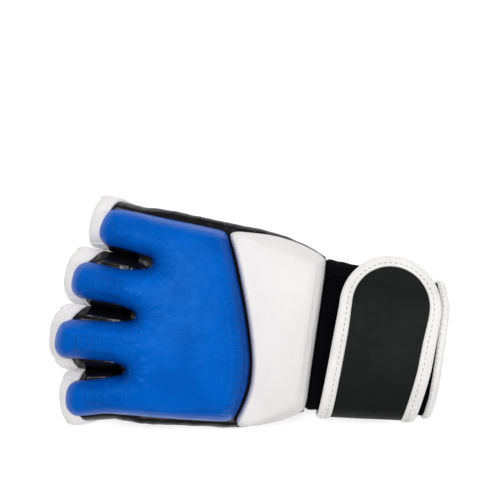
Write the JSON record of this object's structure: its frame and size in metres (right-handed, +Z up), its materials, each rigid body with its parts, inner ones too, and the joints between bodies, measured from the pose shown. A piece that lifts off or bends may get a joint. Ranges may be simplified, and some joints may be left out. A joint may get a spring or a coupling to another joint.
{
  "type": "mma glove",
  "caption": "Right-hand open-finger grappling glove: padded knuckles and backhand, open palm, elastic cuff and hook-and-loop wrist strap.",
  "frame": {"origin": "bottom centre of the whole glove's box, on the surface that the glove lies on, palm down", "axes": "+X towards the wrist, so the fingers point along -X; +Y towards the little finger and -Y towards the thumb; +Z up, out of the back of the hand"},
  "size_m": [0.2242, 0.1325, 0.0573],
  "materials": {
    "blue_leather": "bright blue grained leather, semi-gloss",
    "white_leather": "white grained leather, satin",
    "black_leather": "black grained leather, semi-gloss",
    "white_binding": "white folded tape, one row of stitches",
    "foam": "grey closed-cell foam block, matte",
    "navy_lining": "navy woven lining, matte",
    "black_elastic": "black brushed elastic, matte",
    "black_pile": "black loop pile, very matte",
    "black_hook": "black hook tape, low sheen"
  },
  "bodies": {
    "glove_body": {"knuckle_cover": "blue_leather", "knuckle_foam": "foam", "backhand_cover": "white_leather", "backhand_foam": "foam", "seam_piping": "black_leather", "hand_lining": "navy_lining", "palm_panel": "black_leather", "palm_opening_binding": "white_binding", "thumb_opening_binding": "white_binding", "web_index_middle": "black_leather", "web_middle_ring": "black_leather", "web_ring_pinky": "black_leather", "wrist_cuff": "black_elastic", "cuff_binding": "white_binding", "cuff_pile_patch": "black_pile", "strap_anchor": "black_leather", "strap_anchor_front_tape": "white_binding", "strap_anchor_back_tape": "white_binding"},
    "index_finger": {"index_cover": "blue_leather", "index_foam": "foam", "index_sleeve": "black_leather", "index_binding": "white_binding"},
    "middle_finger": {"middle_cover": "blue_leather", "middle_foam": "foam", "middle_sleeve": "black_leather", "middle_binding": "white_binding"},
    "ring_finger": {"ring_cover": "blue_leather", "ring_foam": "foam", "ring_sleeve": "black_leather", "ring_binding": "white_binding"},
    "pinky_finger": {"pinky_cover": "blue_leather", "pinky_foam": "foam", "pinky_sleeve": "black_leather", "pinky_binding": "white_binding"},
    "strap": {"strap_flap": "black_leather", "strap_flap_front_tape": "white_binding", "strap_flap_back_tape": "white_binding"},
    "strap_end": {"strap_tip": "black_leather", "strap_tip_tape": "white_binding", "strap_hook_patch": "black_hook"}
  },
  "joints": [
    {"name": "index_curl", "type": "hinge", "parent": "glove_body", "child": "index_finger", "pos_m": [-0.06895, -0.046, 0.028], "axis": [0.225, -0.9744, 0], "range_deg": [-15, 35], "stiffness_Nm_per_rad": 0.3},
    {"name": "middle_curl", "type": "hinge", "parent": "glove_body", "child": "middle_finger", "pos_m": [-0.06619, -0.0151, 0.028], "axis": [0.0262, -0.9997, 0], "range_deg": [-15, 35], "stiffness_Nm_per_rad": 0.3},
    {"name": "ring_curl", "type": "hinge", "parent": "glove_body", "child": "ring_finger", "pos_m": [-0.06707, 0.0168, 0.028], "axis": [-0.0872, -0.9962, 0], "range_deg": [-15, 35], "stiffness_Nm_per_rad": 0.3},
    {"name": "pinky_curl", "type": "hinge", "parent": "glove_body", "child": "pinky_finger", "pos_m": [-0.06753, 0.0485, 0.028], "axis": [-0.1219, -0.9925, 0], "range_deg": [-15, 35], "stiffness_Nm_per_rad": 0.3},
    {"name": "strap_open", "type": "hinge", "parent": "glove_body", "child": "strap", "pos_m": [0.0787, -0.03996, 0.01965], "axis": [0.9953, 0.0967, 0], "range_deg": [0, 160]},
    {"name": "strap_peel", "type": "hinge", "parent": "strap", "child": "strap_end", "pos_m": [0.0787, 0.0026, 0.04275], "axis": [1, 0, 0], "range_deg": [0, 60]}
  ]
}
